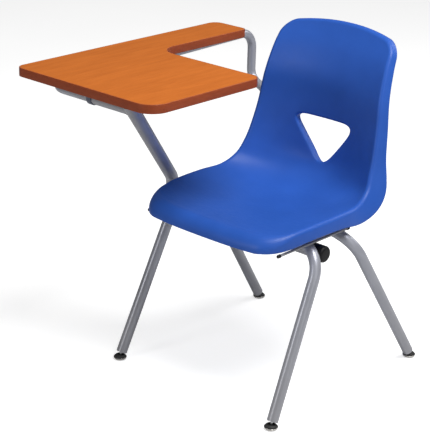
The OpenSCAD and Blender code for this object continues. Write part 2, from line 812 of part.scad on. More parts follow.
module clip_screws() {
    color(zinc) from_seat() at_clip_screws() difference() {
        union() {
            translate([0, 0, -clip_head_h]) cylinder(h = clip_head_h, d = clip_head_d, $fn = round_fn);
            cylinder(h = clip_screw_long, d = clip_screw_d, $fn = round_fn);
        }
        for (a = [0, 90]) rotate([0, 0, a])
            translate([-clip_slot[0] / 2, -clip_slot[1] / 2, -clip_head_h - 1]) cube(clip_slot + [0, 0, 1]);
    }
}

// ---- tablet ----

laminate_t = 0.8;
band_t = 2;
corner_fn = 14;

// Corners of the outline: place and corner radius; the fourth is the inside corner
function tablet_corners(inset) = [
    [[tablet_outer_x + inset, tablet_front_y + inset], 24 - inset],
    [[tablet_inner_x - inset, tablet_front_y + inset], 45 - inset],
    [[tablet_inner_x - inset, panel_rear_y - inset], 27 - inset],
    [[armrest_inner_x - inset, panel_rear_y - inset], 50 + inset],
    [[armrest_inner_x - inset, armrest_rear_y - inset], 16 - inset],
    [[tablet_outer_x + inset, armrest_rear_y - inset], 25 - inset]
];

function rounded_corner(a, b, c, r) =
    let (u = unit(a - b), w = unit(c - b), centre = b + (u + w) * r)
    [for (k = [0:corner_fn]) let (t = 90 * k / corner_fn)
        centre - w * r * cos(t) - u * r * sin(t)];

function tablet_outline(inset) =
    let (c = tablet_corners(inset), n = len(c))
    [for (i = [0:n - 1]) each rounded_corner(c[(i + n - 1) % n][0], c[i][0], c[(i + 1) % n][0],
        c[i][1])];

module tablet_layer(z, t, inset) {
    translate([0, 0, z]) linear_extrude(t) polygon(tablet_outline(inset));
}

module tablet_core() {
    low = tablet_under_z + laminate_t;
    color([0.75, 0.62, 0.42]) from_seat() difference() {
        tablet_layer(low, tablet_t - 2 * laminate_t, band_t);
        at_clip_screws() cylinder(h = clip_screw_long + 0.5, d = clip_screw_d + gap, $fn = round_fn);
    }
}

module tablet_top_laminate() {
    color([0.78, 0.42, 0.18]) from_seat() tablet_layer(tablet_top_z - laminate_t, laminate_t, band_t);
}

module tablet_backing_sheet() {
    color([0.35, 0.22, 0.14]) from_seat() difference() {
        tablet_layer(tablet_under_z, laminate_t, band_t);
        at_clip_screws() cylinder(h = clip_screw_long + 0.5, d = clip_screw_d + gap, $fn = round_fn);
    }
}

module tablet_edge_band() {
    color([0.5, 0.23, 0.13]) from_seat() difference() {
        tablet_layer(tablet_under_z, tablet_t, 0);
        tablet_layer(tablet_under_z - 1, tablet_t + 2, band_t);
    }
}

// Where the seat's centre lies, with the middle of the chair's box as origin
seat_x = -(tablet_outer_x + ball_at(feet[2])[0] + glide_d / 2) / 2;
seat_y = -(tablet_front_y + upright_y + upright_od / 2) / 2;

seat_shell();
seat_bosses();
boss_inserts();
seat_screws();
seat_washers();
left_seat_strap();
right_seat_strap();
left_seat_rail();
right_seat_rail();
rail_end_caps();
front_leg_hoop();
rear_leg_hoop();
left_side_brace();
right_side_brace();
left_tube_bracket();
right_tube_bracket();
tablet_post();
post_end_cap();
rear_upright();
saddle_clips();
clip_screws();
tablet_core();
tablet_top_laminate();
tablet_backing_sheet();
tablet_edge_band();
glide_plugs();
glide_studs();
front_left_cushion();
front_right_cushion();
rear_left_cushion();
rear_right_cushion();
front_left_glide();
front_right_glide();
rear_left_glide();
rear_right_glide();
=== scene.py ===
import json
import math

import bmesh
import bpy
import numpy as np
from mathutils import Matrix, Vector


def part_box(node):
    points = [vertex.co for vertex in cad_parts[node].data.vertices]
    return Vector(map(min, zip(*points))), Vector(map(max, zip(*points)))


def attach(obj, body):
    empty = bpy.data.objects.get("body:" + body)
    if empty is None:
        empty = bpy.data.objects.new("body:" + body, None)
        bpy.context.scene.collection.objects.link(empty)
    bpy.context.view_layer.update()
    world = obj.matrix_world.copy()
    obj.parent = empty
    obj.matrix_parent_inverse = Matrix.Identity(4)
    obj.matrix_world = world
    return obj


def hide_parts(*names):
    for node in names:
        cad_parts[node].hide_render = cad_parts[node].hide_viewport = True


# Looks of the tablet-arm student chair. Lengths in this file are metres unless a name
# or comment says millimetres; mm() turns millimetres of the design into metres.

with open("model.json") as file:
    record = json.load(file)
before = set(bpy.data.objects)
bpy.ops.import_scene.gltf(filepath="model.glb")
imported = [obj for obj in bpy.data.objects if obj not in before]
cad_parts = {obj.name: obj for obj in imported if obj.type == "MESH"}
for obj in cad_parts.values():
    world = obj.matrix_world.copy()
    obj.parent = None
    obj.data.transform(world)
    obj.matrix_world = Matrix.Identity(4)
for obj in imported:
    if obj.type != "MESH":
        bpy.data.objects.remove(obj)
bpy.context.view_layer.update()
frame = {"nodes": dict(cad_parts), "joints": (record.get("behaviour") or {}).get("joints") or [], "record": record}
NODES = frame["nodes"]
JOINTS = {j["name"]: j for j in frame["joints"]}
ROOT = "chair"
FEET = ("front_left", "front_right", "rear_left", "rear_right")
SMOOTH_ANGLE = 35


def mm(value):
    return np.asarray(value, float) * 0.001


TABLET_FRONT_Y = mm(-380)
# Pieces are laid out from the seat's own centre, as in the design, and then shifted by SEAT
SEAT = np.array([(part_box("seat_shell")[0].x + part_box("seat_shell")[1].x) / 2,
                 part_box("tablet_edge_band")[0].y - TABLET_FRONT_Y, 0.0])


def box(node):
    """A node's lowest and highest corners, measured from the seat's centre."""
    low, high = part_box(node)
    return np.array(low) - SEAT, np.array(high) - SEAT


# ---- meshes ----


def new_piece(name, points, faces, body, material, slot, replaces=(), smooth_angle=SMOOTH_ANGLE):
    """A mesh piece in the frame's axes that rides on a body and may stand for CAD nodes."""
    mesh = bpy.data.meshes.new(name)
    mesh.from_pydata([tuple(p + SEAT) for p in points], [], [tuple(f) for f in faces])
    mesh.materials.append(material)
    piece = bpy.data.objects.new(name, mesh)
    bpy.context.scene.collection.objects.link(piece)
    fresh = bmesh.new()
    fresh.from_mesh(mesh)
    bmesh.ops.remove_doubles(fresh, verts=fresh.verts, dist=1e-7)
    bmesh.ops.recalc_face_normals(fresh, faces=fresh.faces)
    fresh.to_mesh(mesh)
    fresh.free()
    mesh.shade_smooth()
    mesh.set_sharp_from_angle(angle=math.radians(smooth_angle))
    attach(piece, body)
    if replaces:
        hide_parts(*replaces)
    return piece


def grid_faces(rings, around, closed_rings=False):
    """Quads between rings of points that each hold `around` points and close on themselves."""
    faces = []
    for i in range(rings if closed_rings else rings - 1):
        low, high = i * around, (i + 1) % rings * around
        for k in range(around):
            n = (k + 1) % around
            faces.append((low + k, low + n, high + n, high + k))
    return faces


def unit(v):
    """Vectors of length one, row by row."""
    v = np.asarray(v, float)
    return v / np.linalg.norm(v, axis=-1, keepdims=True)


def side_axes(direction):
    """Two unit vectors at right angles to a direction and to each other."""
    z = unit(direction)
    helper = np.array([0, 0, 1.0]) if abs(z[2]) < 0.9 else np.array([1.0, 0, 0])
    x = unit(np.cross(helper, z))
    return x, np.cross(z, x)


def lathe(profile, origin, axis, around=72):
    """Points and faces of a closed profile of (radius, height) turned about an axis."""
    x, y = side_axes(axis)
    z = unit(axis)
    turn = np.arange(around) * 2 * math.pi / around
    ring = np.outer(np.cos(turn), x) + np.outer(np.sin(turn), y)
    points = np.vstack([np.asarray(origin) + ring * r + z * h for r, h in profile])
    return points, grid_faces(len(profile), around, closed_rings=True)


def filleted(corners, steps=5):
    """A closed outline of (x, y, fillet radius) corners with each fillet as an arc."""
    out = []
    count = len(corners)
    for i, (x, y, r) in enumerate(corners):
        b = np.array([x, y], float)
        if r == 0:
            out.append(b)
            continue
        a = unit(np.array(corners[i - 1][:2], float) - b)
        c = unit(np.array(corners[(i + 1) % count][:2], float) - b)
        half = math.acos(max(-1, min(1, float(a @ c)))) / 2
        centre = b + unit(a + c) * r / math.sin(half)
        start, end = b + a * r / math.tan(half) - centre, b + c * r / math.tan(half) - centre
        sweep = math.pi - 2 * half
        for k in range(steps + 1):
            t = k / steps * sweep
            share = math.sin(sweep - t) / math.sin(sweep), math.sin(t) / math.sin(sweep)
            out.append(centre + start * share[0] + end * share[1])
    return out


def bent_path(corners, radii, bend_steps=20):
    """Centre line through corner points, each inner corner rounded by its bend radius."""
    points = [np.asarray(corners[0], float)]
    for before, here, after, r in zip(corners, corners[1:], corners[2:], radii):
        into, out = unit(np.subtract(here, before)), unit(np.subtract(after, here))
        angle = math.acos(max(-1, min(1, float(into @ out))))
        start = here - into * r * math.tan(angle / 2)
        toward = unit(out - into * (into @ out))
        for k in range(bend_steps + 1):
            t = angle * k / bend_steps
            points.append(start + into * r * math.sin(t) + toward * r * (1 - math.cos(t)))
    points.append(np.asarray(corners[-1], float))
    return np.array(points)


def sweep(path, radius, around=48, closed=False, inset=0.0):
    """Rings of points round a path, carried along it without twist; inset is the end's round."""
    ahead, behind = np.roll(path, -1, 0), np.roll(path, 1, 0)
    if not closed:
        ahead[-1], behind[0] = path[-1], path[0]
    tangent = unit(ahead - behind)
    x = side_axes(tangent[0])[0]
    turn = np.arange(around) * 2 * math.pi / around
    radius = np.broadcast_to(radius, len(path))
    rings = []
    for i, (p, t) in enumerate(zip(path, tangent)):
        x = unit(x - t * (x @ t))
        y = np.cross(t, x)
        end = not closed and i in (0, len(path) - 1)
        r = radius[i] - (inset if end else 0.0)
        rings.append(p + r * (np.outer(np.cos(turn), x) + np.outer(np.sin(turn), y)))
    return rings


def tube(path, od, wall, around=48):
    """An open-ended tube: its outside, its inside and a rounded lip at each end."""
    lip = wall * 0.3
    run = path.copy()
    near_start = run[0] + unit(run[1] - run[0]) * lip
    near_end = run[-1] + unit(run[-2] - run[-1]) * lip
    run = np.vstack([run[:1], [near_start], run[1:-1], [near_end], run[-1:]])
    outside = sweep(run, od / 2, around, inset=lip)
    inside = sweep(run, od / 2 - wall, around, inset=-lip)
    rings = outside + inside[::-1]
    return np.vstack(rings), grid_faces(len(rings), around, closed_rings=True)


def weld_bead(points, thick, around=10, ripples=0):
    """A rippled bead along a closed line of points."""
    count = len(points)
    wave = 1 + 0.13 * np.sin(np.arange(count) * 2 * math.pi * ripples / count)
    rings = sweep(np.asarray(points), thick * wave, around, closed=True)
    return np.vstack(rings), grid_faces(count, around, closed_rings=True)


def joined(parts):
    """Several (points, faces) pairs as one."""
    points, faces, base = [], [], 0
    for part_points, part_faces in parts:
        points.append(part_points)
        faces += [tuple(i + base for i in f) for f in part_faces]
        base += len(part_points)
    return np.vstack(points), faces


# ---- materials ----


class Shader:
    """A node material put together round one Principled surface, in the object's own space."""

    def __init__(self, name):
        self.material = bpy.data.materials.new(name)
        self.material.use_nodes = True
        self.tree = self.material.node_tree
        self.surface = self.tree.nodes["Principled BSDF"]
        self.place = self.add("ShaderNodeTexCoord").outputs["Object"]

    def add(self, kind, settings=None, **inputs):
        node = self.tree.nodes.new(kind)
        for key, value in (settings or {}).items():
            setattr(node, key, value)
        for key, value in inputs.items():
            self.put(node, key.replace("_", " "), value)
        return node

    def put(self, node, key, value):
        socket = node.inputs[key]
        if isinstance(value, bpy.types.NodeSocket):
            self.tree.links.new(value, socket)
        else:
            socket.default_value = value

    def noise(self, scale, detail=3.0, rough=0.5, stretch=(1, 1, 1), bend=0.0):
        """Cloudy noise from 0 to 1; stretch above 1 makes it finer along that axis."""
        place = self.add("ShaderNodeMapping", Vector=self.place, Scale=stretch).outputs[0]
        return self.add("ShaderNodeTexNoise", Vector=place, Scale=scale, Detail=detail,
                        Roughness=rough, Distortion=bend).outputs[0]

    def spread(self, factor, low, high, start=0.25, end=0.75):
        """The factor's start to end mapped onto low to high."""
        node = self.add("ShaderNodeMapRange", Value=factor)
        for key, value in (("From Min", start), ("From Max", end), ("To Min", low), ("To Max", high)):
            self.put(node, key, value)
        return node.outputs[0]

    def blend(self, factor, first, second):
        node = self.add("ShaderNodeMix", {"data_type": "RGBA"})
        self.put(node, 0, factor)
        for index, value in ((6, first), (7, second)):
            self.put(node, index, value if isinstance(value, bpy.types.NodeSocket) else (*value, 1))
        return node.outputs[2]

    def edge_wear_and_highlight(self, colour, edge_colour, reach=0.56):
        """The colour, giving way a little to an edge colour along sharp edges: a worn bare colour on the frame, a
        painted highlight on the edge band, and a painted highlight with some wear on the seat's rim.
        """
        edge = self.add("ShaderNodeNewGeometry").outputs["Pointiness"]
        return self.blend(self.spread(edge, 0.0, 0.5, 0.52, reach), colour, edge_colour)

    def bumps(self, *layers):
        """Bump from layers of (height, strength, distance)."""
        normal = None
        for height, strength, distance in layers:
            node = self.add("ShaderNodeBump", Height=height, Strength=strength, Distance=distance)
            if normal:
                self.put(node, "Normal", normal)
            normal = node.outputs[0]
        self.put(self.surface, "Normal", normal)

    def finish(self, colour, roughness, metallic=0.0, **more):
        self.put(self.surface, "Base Color", colour)
        self.put(self.surface, "Roughness", roughness)
        self.put(self.surface, "Metallic", metallic)
        for key, value in more.items():
            self.put(self.surface, key.replace("_", " "), value)
        return self.material


def shell_material():
    s = Shader("seat_plastic")
    cloud = s.noise(9, 4, 0.55)
    colour = s.blend(s.spread(cloud, 0, 1), (0.020, 0.088, 0.41), (0.026, 0.106, 0.48))
    scuff = s.noise(55, 6, 0.7, (1, 5, 1), 0.6)
    colour = s.blend(s.spread(scuff, 0, 0.1, 0.62, 0.8), colour, (0.09, 0.20, 0.55))
    # Painted highlight, partly edge wear: a lighter, brighter blue along sharp edges, most of all the rolled rim's
    # crest
    colour = s.edge_wear_and_highlight(colour, (0.06, 0.17, 0.58), 0.6)
    rough = s.spread(scuff, 0.38, 0.5, 0.35, 0.75)
    grain = s.noise(1500, 2, 0.5)
    s.bumps((grain, 0.12, 0.0002), (s.noise(28, 2), 0.06, 0.002))
    return s.finish(colour, rough, Specular_IOR_Level=0.28)


def frame_material():
    s = Shader("frame_paint")
    cloud = s.noise(14, 3)
    colour = s.blend(s.spread(cloud, 0, 1), (0.34, 0.35, 0.40), (0.41, 0.42, 0.47))
    fleck = s.noise(2600, 2, 0.6)
    colour = s.blend(s.spread(fleck, 0, 0.3, 0.5, 0.8), colour, (0.5, 0.5, 0.54))
    colour = s.edge_wear_and_highlight(colour, (0.3, 0.29, 0.29))
    peel = s.noise(650, 2, 0.45)
    s.bumps((peel, 0.10, 0.0004))
    return s.finish(colour, s.spread(cloud, 0.30, 0.40), 0.35)


def wood_material():
    s = Shader("wood_laminate")
    broad = s.noise(9, 4, 0.55, (7, 0.8, 1), 0.5)
    streak = s.noise(60, 6, 0.6, (9, 0.5, 1), 0.8)
    colour = s.blend(s.spread(broad, 0, 1, 0.3, 0.7), (0.49, 0.125, 0.014), (0.58, 0.155, 0.020))
    colour = s.blend(s.spread(streak, 0, 0.4, 0.52, 0.72), colour, (0.42, 0.09, 0.013))
    pore = s.noise(300, 3, 0.7, (7, 0.35, 1))
    colour = s.blend(s.spread(pore, 0, 0.4, 0.6, 0.78), colour, (0.27, 0.055, 0.01))
    s.bumps((pore, 0.06, 0.0002))
    return s.finish(colour, s.spread(streak, 0.4, 0.5), Specular_IOR_Level=0.2)


def band_material():
    s = Shader("edge_band")
    streak = s.noise(40, 4, 0.6, (1, 1, 9), 0.3)
    colour = s.blend(s.spread(streak, 0, 1), (0.25, 0.046, 0.014), (0.32, 0.062, 0.018))
    # Painted highlight: a light orange line along the band's rounded edges
    colour = s.edge_wear_and_highlight(colour, (0.62, 0.26, 0.12), 0.58)
    s.bumps((s.noise(500, 2), 0.08, 0.0003))
    return s.finish(colour, s.spread(streak, 0.38, 0.46), Specular_IOR_Level=0.25)


def speckled(name, dark, light, rough, scale=900, strength=0.15, depth=0.0003, shine=0.5):
    """A plain material with cloudy colour, a fine grain and uneven roughness."""
    s = Shader(name)
    grain = s.noise(scale, 3, 0.6)
    cloud = s.noise(scale / 25, 3)
    colour = s.blend(s.spread(cloud, 0, 1), dark, light)
    s.bumps((grain, strength, depth))
    return s.finish(colour, s.spread(cloud, rough[0], rough[1]), Specular_IOR_Level=shine)


def plated(name, dark, light, rough):
    """Plated metal with fine scratches."""
    s = Shader(name)
    cloud = s.noise(160, 3)
    scratch = s.noise(900, 4, 0.7, (1, 1, 12), 0.4)
    colour = s.blend(s.spread(cloud, 0, 1), dark, light)
    s.bumps((scratch, 0.08, 0.0002))
    return s.finish(colour, s.spread(scratch, rough[0], rough[1], 0.3, 0.8), 1.0)


MATERIALS = {
    "seat_plastic": shell_material(),
    "frame_paint": frame_material(),
    "wood_laminate": wood_material(),
    "edge_band": band_material(),
    "black_plastic": speckled("black_plastic", (0.006, 0.006, 0.007), (0.011, 0.011, 0.012),
                              (0.42, 0.55), shine=0.22),
    "cushion_rubber": speckled("cushion_rubber", (0.010, 0.010, 0.011), (0.022, 0.022, 0.022),
                               (0.55, 0.72), 1400, strength=0.3),
    "nickel_steel": plated("nickel_steel", (0.55, 0.53, 0.50), (0.70, 0.68, 0.65), (0.14, 0.32)),
    "zinc_steel": plated("zinc_steel", (0.52, 0.53, 0.55), (0.68, 0.69, 0.71), (0.24, 0.42)),
    "insert_brass": plated("insert_brass", (0.52, 0.36, 0.14), (0.66, 0.48, 0.2), (0.22, 0.4)),
    # Painted shade: the saddle clips are far darker than the frame paint, standing for the shadow at the tube
    # joint under the tablet
    "clip_steel": speckled("clip_steel", (0.07, 0.08, 0.12), (0.10, 0.11, 0.15), (0.32, 0.45), 700),
    "particle_board": speckled("particle_board", (0.34, 0.23, 0.12), (0.52, 0.38, 0.22),
                               (0.75, 0.9), 500, strength=0.6, depth=0.0008),
    "backing_sheet": speckled("backing_sheet", (0.075, 0.04, 0.022), (0.11, 0.062, 0.035),
                              (0.45, 0.6), 700),
}

# ---- seat shell: the design's own surface, drawn more finely ----

# Each cell of the design's grid is drawn as FINE by FINE cells. Lengths up to build_shell's
# end are in millimetres, and a station runs from 0 at the front edge to TOP_V at the top.
FINE = 5
COLUMNS, CORNER_STEPS, ROW_GAP = 12 * FINE, 4 * FINE, 0.5
SHELL_T = 4.5
HALF_WIDTH, EDGE_TURN, FLANGE_DEPTH = 4, 5, 6
SECTIONS = np.array([
    # crest y, crest z, middle y, middle z, half width, edge turn, flange depth
    [-196, 414, -208, 410, 188, 92, 34],
    [-110, 422, -105, 403, 200, 98, 32],
    [-20, 424, -10, 398, 202, 100, 34],
    [50, 425, 75, 397, 196, 100, 44],
    [94, 443, 135, 413, 187, 98, 52],
    [116, 475, 168, 447, 179, 92, 45],
    [132, 515, 177, 500, 174.5, 88, 33],
    [146, 570, 180, 565, 169, 84, 28],
    [158, 639, 189, 644, 163, 80, 24],
    [181, 704, 207, 711, 157, 78, 21],
    [208, 751, 233, 767, 152, 82, 19],
])
TOP_V = len(SECTIONS) - 1
FRONT_CORNER_R, TOP_CORNER_R = 46, 28
SIDE_ROLL, FRONT_ROLL, TOP_ROLL = 9, 32, 11
LIP_ROLL, LIP_ANGLE, LIP_DEPTH = 6, 84, 19
OPENING_CORNERS = np.array([[0, 4.69], [102, 6.93], [-102, 6.93]])
OPENING_ROUND = 0.27
# Cells along each of the opening's corners and sides, and where its rectangle of cells lies
OPENING_CORNER_CELLS, OPENING_SIDE_CELLS = 4, (8, 4, 8)
HOLE_ROWS, HOLE_MARGIN = (8, 16), 2
# How the face rises towards its sides: exponents of the seat and the back, and the stations
# between which one gives way to the other
SEAT_RISE, BACK_RISE = 2.6, 2.0
RISE_FROM, RISE_OVER = 2.5, 3
FACE_LIMIT = 1.2


def section_at(v, column):
    """Smooth interpolation of one column of the sections at stations v."""
    values = SECTIONS[:, column]
    i = np.clip(np.floor(v).astype(int), 0, TOP_V - 1)
    t = v - i
    a, b = values[i], values[i + 1]
    before = values[np.maximum(i - 1, 0)]
    after = values[np.minimum(i + 2, TOP_V)]
    slope_a = np.where(i == 0, b - a, (b - before) / 2)
    slope_b = np.where(i == TOP_V - 1, b - a, (after - a) / 2)
    return (a * (2 * t**3 - 3 * t**2 + 1) + slope_a * (t**3 - 2 * t**2 + t)
            + b * (3 * t**2 - 2 * t**3) + slope_b * (t**3 - t**2))


def face(xv):
    """Points of the shell's face at rows of (x, station), in millimetres."""
    x, v = xv[:, 0], xv[:, 1]
    c = np.clip((v - RISE_FROM) / RISE_OVER, 0, 1)
    rise = SEAT_RISE + (BACK_RISE - SEAT_RISE) * c * c * (3 - 2 * c)
    g = np.minimum(FACE_LIMIT, np.abs(x) / section_at(v, HALF_WIDTH)) ** rise
    crest_y, crest_z, mid_y, mid_z = (section_at(v, k) for k in range(4))
    return np.column_stack([x, mid_y + (crest_y - mid_y) * g, mid_z + (crest_z - mid_z) * g])


def face_normal(xv):
    """Unit normals of the face, towards the sitter."""
    step_x, step_v = np.array([1, 0]), np.array([0, 0.02])
    across = face(xv + step_x) - face(xv - step_x)
    along = face(xv + step_v) - face(xv - step_v)
    return unit(np.cross(across, along))


def shell_rows():
    """Rows of the grid, each a station and how much narrower the face is there."""
    a = np.arange(CORNER_STEPS + 1) * math.pi / 2 / CORNER_STEPS
    spans = np.linalg.norm(np.diff(SECTIONS[:, :2], axis=0), axis=1)
    front = np.column_stack([FRONT_CORNER_R * (1 - np.cos(a)) / spans[0],
                             FRONT_CORNER_R * (1 - np.sin(a))])
    top = np.column_stack([TOP_V - TOP_CORNER_R * (1 - np.cos(a)) / spans[-1],
                           TOP_CORNER_R * (1 - np.sin(a))])[::-1]
    middle = FINE * math.ceil((top[0, 0] - front[-1, 0]) / ROW_GAP)
    run = np.linspace(front[-1, 0], top[0, 0], middle + 1)[1:-1]
    return np.vstack([front, np.column_stack([run, 0 * run]), top])


def opening_outline():
    """The rounded triangle, starting half way round its lowest corner."""
    def corner(i, t):
        b, a, c = (OPENING_CORNERS[(i + k) % 3] for k in (0, 2, 1))
        p, q = b + (a - b) * OPENING_ROUND, b + (c - b) * OPENING_ROUND
        return (p * (1 - t) + b * t) * (1 - t) + (b * (1 - t) + q * t) * t

    points = []
    bend = OPENING_CORNER_CELLS * FINE
    for i, cells in enumerate(OPENING_SIDE_CELLS):
        points += [corner(i, k / bend) for k in range(bend)]
        start, end = corner(i, 1), corner((i + 1) % 3, 0)
        points += [start + (end - start) * k / (cells * FINE) for k in range(cells * FINE)]
    return np.roll(np.array(points), bend // 2, axis=0)


def rolled(base, n, out, r, angle, depth, steps):
    """Rings for both faces of an edge that rolls through an angle, runs on straight to its
    depth and ends in a round nose; from the face's side round to the back's."""
    half = SHELL_T / 2
    centre = base - n * r
    run = np.maximum(2, (depth - r * (1 - np.cos(angle))) / np.sin(angle))
    outer, inner = [], []
    for k in range(1, steps + 1):
        a = angle * k / steps
        spoke = out * np.sin(a) + n * np.cos(a)
        outer.append(centre + spoke * r)
        inner.append(centre + spoke * (r - SHELL_T))
    spoke = out * np.sin(angle) + n * np.cos(angle)
    way = out * np.cos(angle) - n * np.sin(angle)
    nose = centre + spoke * (r - half) + way * (run - half)
    for k in range(2, 0, -1):
        outer.append(centre + spoke * r + way * (run - half) * (1 - (k - 1) / 2))
    inner_run = [centre + spoke * (r - SHELL_T) + way * (run - half) * share for share in (0.5, 1)]
    round_end = [nose + spoke * half * math.cos(t) + way * half * math.sin(t)
                 for t in np.linspace(0, math.pi, 7)[1:-1]]
    return outer + round_end + inner_run[::-1] + inner[::-1]


def build_shell():
    """Both faces of the wall, its rolled rim and the lip of its opening, as one closed mesh."""
    rows = shell_rows()
    half_width = section_at(rows[:, 0], HALF_WIDTH) - rows[:, 1]
    share = 2 * np.arange(COLUMNS + 1) / COLUMNS - 1
    grid = np.stack([half_width[:, None] * share, np.repeat(rows[:, :1], COLUMNS + 1, 1)], -1)
    row_count = len(rows)

    first_row, last_row = (CORNER_STEPS + cells * FINE for cells in HOLE_ROWS)
    first_col, last_col = HOLE_MARGIN * FINE, COLUMNS - HOLE_MARGIN * FINE
    hole = ([(first_row, j) for j in range(first_col, last_col)]
            + [(i, last_col) for i in range(first_row, last_row)]
            + [(last_row, j) for j in range(last_col, first_col, -1)]
            + [(i, first_col) for i in range(last_row, first_row, -1)])
    edge = ([(0, j) for j in range(COLUMNS)]
            + [(i, COLUMNS) for i in range(row_count - 1)]
            + [(row_count - 1, j) for j in range(COLUMNS, 0, -1)]
            + [(i, 0) for i in range(row_count - 1, 0, -1)])

    points, faces = [], []

    def add(block):
        """Adds points and gives the number of the first."""
        start = sum(len(p) for p in points)
        points.append(block)
        return start

    def skin(xv):
        """The face and the back of the wall at rows of (x, station)."""
        front = face(xv)
        return front, front - face_normal(xv) * SHELL_T

    def ring_of_quads(a, b):
        """Quads between two closed rings of point numbers."""
        count = len(a)
        for m in range(count):
            n = (m + 1) % count
            faces.append((a[m], a[n], b[n], b[m]))

    flat = grid.reshape(-1, 2)
    front, back = skin(flat)
    starts = add(front), add(back)
    width = COLUMNS + 1
    for start in starts:
        for i in range(row_count - 1):
            for j in range(COLUMNS):
                if first_row <= i < last_row and first_col <= j < last_col:
                    continue
                a = start + i * width + j
                faces.append((a, a + 1, a + width + 1, a + width))

    def close_edge(loop_xv, starts_ids, outward_sign, r, angle, depth, steps):
        """Rolls both skins over an edge and joins them."""
        here = face(loop_xv)
        n = face_normal(loop_xv)
        t = np.roll(here, -1, 0) - np.roll(here, 1, 0)
        out = unit(np.cross(t, n)) * outward_sign
        rings = rolled(here, n, out, r, angle, depth, steps)
        before = starts_ids[0]
        for ring in rings:
            start = add(ring)
            now = [start + m for m in range(len(ring))]
            ring_of_quads(before, now)
            before = now
        ring_of_quads(before, starts_ids[1])

    edge_xv = np.array([grid[i, j] for i, j in edge])
    row = np.array([i for i, _ in edge])

    def end_share(k):
        """How far an edge point k rows from an end belongs to that end's edge, from 0 to 1."""
        return np.where(k > CORNER_STEPS, 0, np.cos(math.pi / 2 * k / CORNER_STEPS) ** 2)

    near_front, near_top = end_share(row), end_share(row_count - 1 - row)
    roll = SIDE_ROLL + (FRONT_ROLL - SIDE_ROLL) * near_front
    roll = (roll + (TOP_ROLL - roll) * near_top)[:, None]
    angle = np.radians(section_at(edge_xv[:, 1], EDGE_TURN))[:, None]
    depth = section_at(edge_xv[:, 1], FLANGE_DEPTH)[:, None]
    edge_ids = [[s + i * width + j for i, j in edge] for s in starts]
    close_edge(edge_xv, edge_ids, 1, roll, angle, depth, 3 * FINE)

    hole_xv = np.array([grid[i, j] for i, j in hole])
    outline = opening_outline()
    before = [[s + i * width + j for i, j in hole] for s in starts]
    for k in range(1, 2 * FINE + 1):
        front, back = skin(hole_xv + (outline - hole_xv) * k / (2 * FINE))
        for side, block in enumerate((front, back)):
            start = add(block)
            now = [start + m for m in range(len(block))]
            ring_of_quads(before[side], now)
            before[side] = now
    close_edge(outline, before, -1, LIP_ROLL, math.radians(LIP_ANGLE), LIP_DEPTH, 2 * FINE)
    return mm(np.vstack(points)), faces


shell_points, shell_faces = build_shell()
new_piece("seat_shell_skin", shell_points, shell_faces, ROOT, MATERIALS["seat_plastic"],
          "seat_plastic", ["seat_shell"], smooth_angle=60)

# ---- leg hoops ----

LEG_OD, TUBE_WALL, HOOP_R = mm(25.4), mm(1.6), mm(72)
CROSSBAR_Z = mm(368)
FRONT_CORNER, REAR_CORNER = mm([219, -86, 368]), mm([218.6, 14.7, 368])
FRONT_FLOOR, REAR_FLOOR = mm([234.7, -256.3, 0]), mm([238.2, 255.4, 0])
TUBE_END_Z = mm(17)


def leg_at(floor, corner, z):
    """The point of a leg's centre line at height z."""
    return floor + (corner - floor) * z / corner[2]


def flip(p):
    """The same point on the chair's other side."""
    return p * [-1, 1, 1]


for hoop, floor, corner in (("front_leg_hoop", FRONT_FLOOR, FRONT_CORNER),
                            ("rear_leg_hoop", REAR_FLOOR, REAR_CORNER)):
    end = leg_at(floor, corner, TUBE_END_Z)
    line = bent_path([flip(end), flip(corner), corner, end], [HOOP_R, HOOP_R])
    new_piece(hoop + "_tube", *tube(line, LEG_OD, TUBE_WALL), ROOT, MATERIALS["frame_paint"],
              "frame_paint", [hoop])

# ---- tablet post and rear upright ----

POST_OD, FRONT_TUBE_OD, UPRIGHT_OD = mm(30), mm(25.4), mm(22.2)
TABLET_UNDER, TABLET_TOP = (float(corner[2]) for corner in box("tablet_edge_band"))
FRONT_TUBE_WALL, ELBOW_R = mm(1.5), mm(39)
LOOP_Z = TABLET_UNDER - FRONT_TUBE_OD / 2 - mm(0.1)
FRONT_TUBE_Y = mm(-344)
CROSS = mm([206, -61, 343])
POST_TOP = np.array([mm(-102), FRONT_TUBE_Y, LOOP_Z])
POST_ELBOW = mm([-257, -61, 402])
SOCKET_X = mm(-230)
# The post is drawn this far past its top, so that the level cut goes through all of its wall
POST_OVERRUN, TRIM_GAP = mm(40), mm(0.1)


def trimmed(points, faces, height):
    """The piece below a level plane, its cut closed."""
    work = bmesh.new()
    verts = [work.verts.new(p) for p in points]
    for f in faces:
        work.faces.new([verts[i] for i in f])
    bmesh.ops.bisect_plane(work, geom=work.verts[:] + work.edges[:] + work.faces[:],
                           plane_co=(0, 0, height), plane_no=(0, 0, 1), clear_outer=True)
    bmesh.ops.holes_fill(work, edges=[e for e in work.edges if e.is_boundary])
    work.verts.index_update()
    out = [tuple(v.co) for v in work.verts], [[v.index for v in f.verts] for f in work.faces]
    work.free()
    return np.array(out[0]), out[1]


post_way = unit(POST_TOP - POST_ELBOW)
post_line = bent_path([POST_TOP + post_way * POST_OVERRUN, POST_ELBOW,
                       np.array([POST_ELBOW[0], CROSS[1], CROSS[2]]), CROSS], [ELBOW_R, ELBOW_R])
post = trimmed(*tube(post_line, POST_OD, TUBE_WALL), TABLET_UNDER - TRIM_GAP)
SOCKET = np.array([SOCKET_X, FRONT_TUBE_Y, LOOP_Z])
front_tube = tube(np.array([SOCKET, POST_TOP]), FRONT_TUBE_OD, FRONT_TUBE_WALL)
new_piece("tablet_post_tube", *joined([post, front_tube]), ROOT, MATERIALS["frame_paint"],
          "frame_paint", ["tablet_post"])

